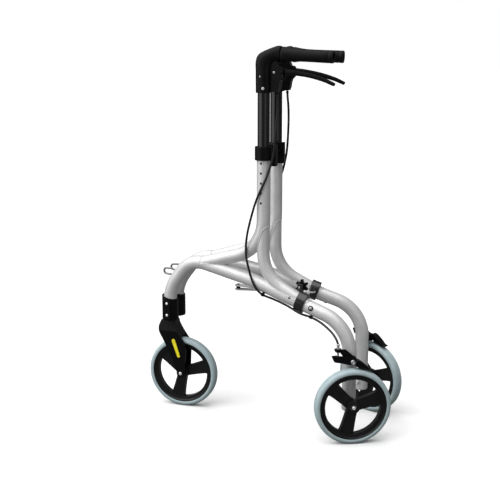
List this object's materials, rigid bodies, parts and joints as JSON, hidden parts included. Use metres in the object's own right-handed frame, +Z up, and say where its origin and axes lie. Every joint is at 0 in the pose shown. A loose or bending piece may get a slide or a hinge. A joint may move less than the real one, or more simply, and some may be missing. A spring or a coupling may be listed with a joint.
{
  "type": "rollator walker",
  "caption": "Folding delta rollator walker: hinged side frames, swivelling front fork, height-adjustable handles with brake levers and toed rear wheels, stored folded.",
  "frame": {"origin": "on the floor, at the middle of the bounding box", "axes": "+Z up; -Y is the front, with the swivelling wheel; +X is the walker's left"},
  "size_m": [0.3364, 0.6775, 0.9607],
  "materials": {
    "frame_paint": "pearl silver-white gloss paint on aluminium tube",
    "black_plastic": "fine-textured black moulding",
    "handle_tube": "satin black anodised",
    "zinc_steel": "bright zinc plate",
    "grip": "matt moulded black rubber",
    "tyre": "matt grey-blue non-marking tyre",
    "brake_pad": "matt black",
    "cable_jacket": "smooth black jacket",
    "reflector": "glossy yellow"
  },
  "bodies": {
    "head": {"hinge_pin": "zinc_steel", "hinge_pin_nut": "zinc_steel", "head_plate": "black_plastic"},
    "fork": {"fork": "black_plastic", "steering_bearing": "zinc_steel", "front_axle": "zinc_steel", "left_reflector": "reflector", "right_reflector": "reflector"},
    "front_wheel": {"front_tyre": "tyre", "front_rim": "black_plastic", "front_wheel_bearing": "zinc_steel"},
    "left_frame": {"left_main_tube": "frame_paint", "left_post_tube": "frame_paint", "left_brace_tube": "frame_paint", "left_socket_bracket": "black_plastic", "left_height_collar": "black_plastic", "left_fold_clamp": "black_plastic", "left_brake_bracket": "black_plastic", "left_rear_axle": "zinc_steel", "left_brake_cable": "cable_jacket", "left_basket_hook": "zinc_steel"},
    "left_handle": {"left_handle_tube": "handle_tube", "left_handle_elbow": "black_plastic", "left_grip": "grip", "left_lever_housing": "black_plastic", "left_lever_pin": "zinc_steel"},
    "left_lever": {"left_brake_lever": "black_plastic"},
    "left_button": {"left_height_button": "black_plastic"},
    "left_brake_arm": {"left_brake_arm": "black_plastic", "left_brake_pad": "brake_pad"},
    "left_wheel": {"left_rear_tyre": "tyre", "left_rear_rim": "black_plastic", "left_rear_wheel_bearing": "zinc_steel"},
    "left_link": {"left_fold_link": "zinc_steel", "link_pin": "zinc_steel"},
    "right_frame": {"right_main_tube": "frame_paint", "right_post_tube": "frame_paint", "right_brace_tube": "frame_paint", "right_socket_bracket": "black_plastic", "right_height_collar": "black_plastic", "right_fold_clamp": "black_plastic", "right_brake_bracket": "black_plastic", "right_rear_axle": "zinc_steel", "right_brake_cable": "cable_jacket", "right_basket_hook": "zinc_steel"},
    "right_handle": {"right_handle_tube": "handle_tube", "right_handle_elbow": "black_plastic", "right_grip": "grip", "right_lever_housing": "black_plastic", "right_lever_pin": "zinc_steel"},
    "right_lever": {"right_brake_lever": "black_plastic"},
    "right_button": {"right_height_button": "black_plastic"},
    "right_brake_arm": {"right_brake_arm": "black_plastic", "right_brake_pad": "brake_pad"},
    "right_wheel": {"right_rear_tyre": "tyre", "right_rear_rim": "black_plastic", "right_rear_wheel_bearing": "zinc_steel"},
    "right_link": {"right_fold_link": "zinc_steel"},
    "star_knob": {"star_knob": "black_plastic"}
  },
  "joints": [
    {"name": "left_fold", "type": "hinge", "parent": "head", "child": "left_frame", "pos_m": [0, -0.275, 0.28], "axis": [0, 0, -1], "range_deg": [0, 25.46]},
    {"name": "right_fold", "type": "hinge", "parent": "head", "child": "right_frame", "pos_m": [0, -0.275, 0.28], "axis": [0, 0, 1], "range_deg": [0, 25.46]},
    {"name": "fork_swivel", "type": "hinge", "parent": "head", "child": "fork", "pos_m": [0, -0.275, 0.22], "axis": [0, 0, 1], "continuous": true},
    {"name": "front_wheel_spin", "type": "hinge", "parent": "fork", "child": "front_wheel", "pos_m": [0, -0.243, 0.0955], "axis": [1, 0, 0], "continuous": true},
    {"name": "left_wheel_spin", "type": "hinge", "parent": "left_frame", "child": "left_wheel", "pos_m": [0.11665, 0.24836, 0.0955], "axis": [0.9029, 0.4299, 0], "continuous": true},
    {"name": "left_height", "type": "slide", "parent": "left_frame", "child": "left_handle", "axis": [0, 0, 1], "range_m": [-0.0988, 0], "deforming": ["left_brake_cable"]},
    {"name": "left_height_button", "type": "slide", "parent": "left_frame", "child": "left_button", "axis": [-0.9943, 0.107, 0], "range_m": [0, 0.005], "stiffness_N_per_m": 400},
    {"name": "left_lever", "type": "hinge", "parent": "left_handle", "child": "left_lever", "pos_m": [0.04978, 0.0453, 0.898], "axis": [0.9989, -0.0461, 0], "range_deg": [0, 12], "stiffness_Nm_per_rad": 1.2, "springref_deg": -5.73},
    {"name": "left_brake", "type": "hinge", "parent": "left_frame", "child": "left_brake_arm", "pos_m": [0.10934, 0.24488, 0.2066], "axis": [-0.9029, -0.4299, 0], "range_deg": [0, 2.4]},
    {"name": "left_link_swing", "type": "hinge", "parent": "left_frame", "child": "left_link", "pos_m": [0.03194, 0.10607, 0.343], "axis": [0, 0, -1], "range_deg": [0, 48.32]},
    {"name": "right_wheel_spin", "type": "hinge", "parent": "right_frame", "child": "right_wheel", "pos_m": [-0.11665, 0.24836, 0.0955], "axis": [0.9029, -0.4299, 0], "continuous": true},
    {"name": "right_height", "type": "slide", "parent": "right_frame", "child": "right_handle", "axis": [0, 0, 1], "range_m": [-0.0988, 0], "deforming": ["right_brake_cable"]},
    {"name": "right_height_button", "type": "slide", "parent": "right_frame", "child": "right_button", "axis": [0.9943, 0.107, 0], "range_m": [0, 0.005], "stiffness_N_per_m": 400},
    {"name": "right_lever", "type": "hinge", "parent": "right_handle", "child": "right_lever", "pos_m": [-0.04978, 0.0453, 0.898], "axis": [0.9989, 0.0461, 0], "range_deg": [0, 12], "stiffness_Nm_per_rad": 1.2, "springref_deg": -5.73},
    {"name": "right_brake", "type": "hinge", "parent": "right_frame", "child": "right_brake_arm", "pos_m": [-0.10934, 0.24488, 0.2066], "axis": [-0.9029, 0.4299, 0], "range_deg": [0, 2.4]},
    {"name": "right_link_swing", "type": "hinge", "parent": "right_frame", "child": "right_link", "pos_m": [-0.03194, 0.10607, 0.343], "axis": [0, 0, 1], "range_deg": [0, 48.32]},
    {"name": "star_knob_turn", "type": "hinge", "parent": "left_frame", "child": "star_knob", "pos_m": [0.04006, 0.09735, 0.369], "axis": [0.9943, -0.107, 0], "continuous": true}
  ],
  "couplings": [
    {"joint": "right_fold", "follows": "left_fold", "ratio": 1},
    {"joint": "left_link_swing", "follows": "left_fold", "ratio": 1.8975},
    {"joint": "right_link_swing", "follows": "left_fold", "ratio": 1.8975},
    {"joint": "left_brake", "follows": "left_lever", "ratio": 0.2},
    {"joint": "right_brake", "follows": "right_lever", "ratio": 0.2}
  ]
}
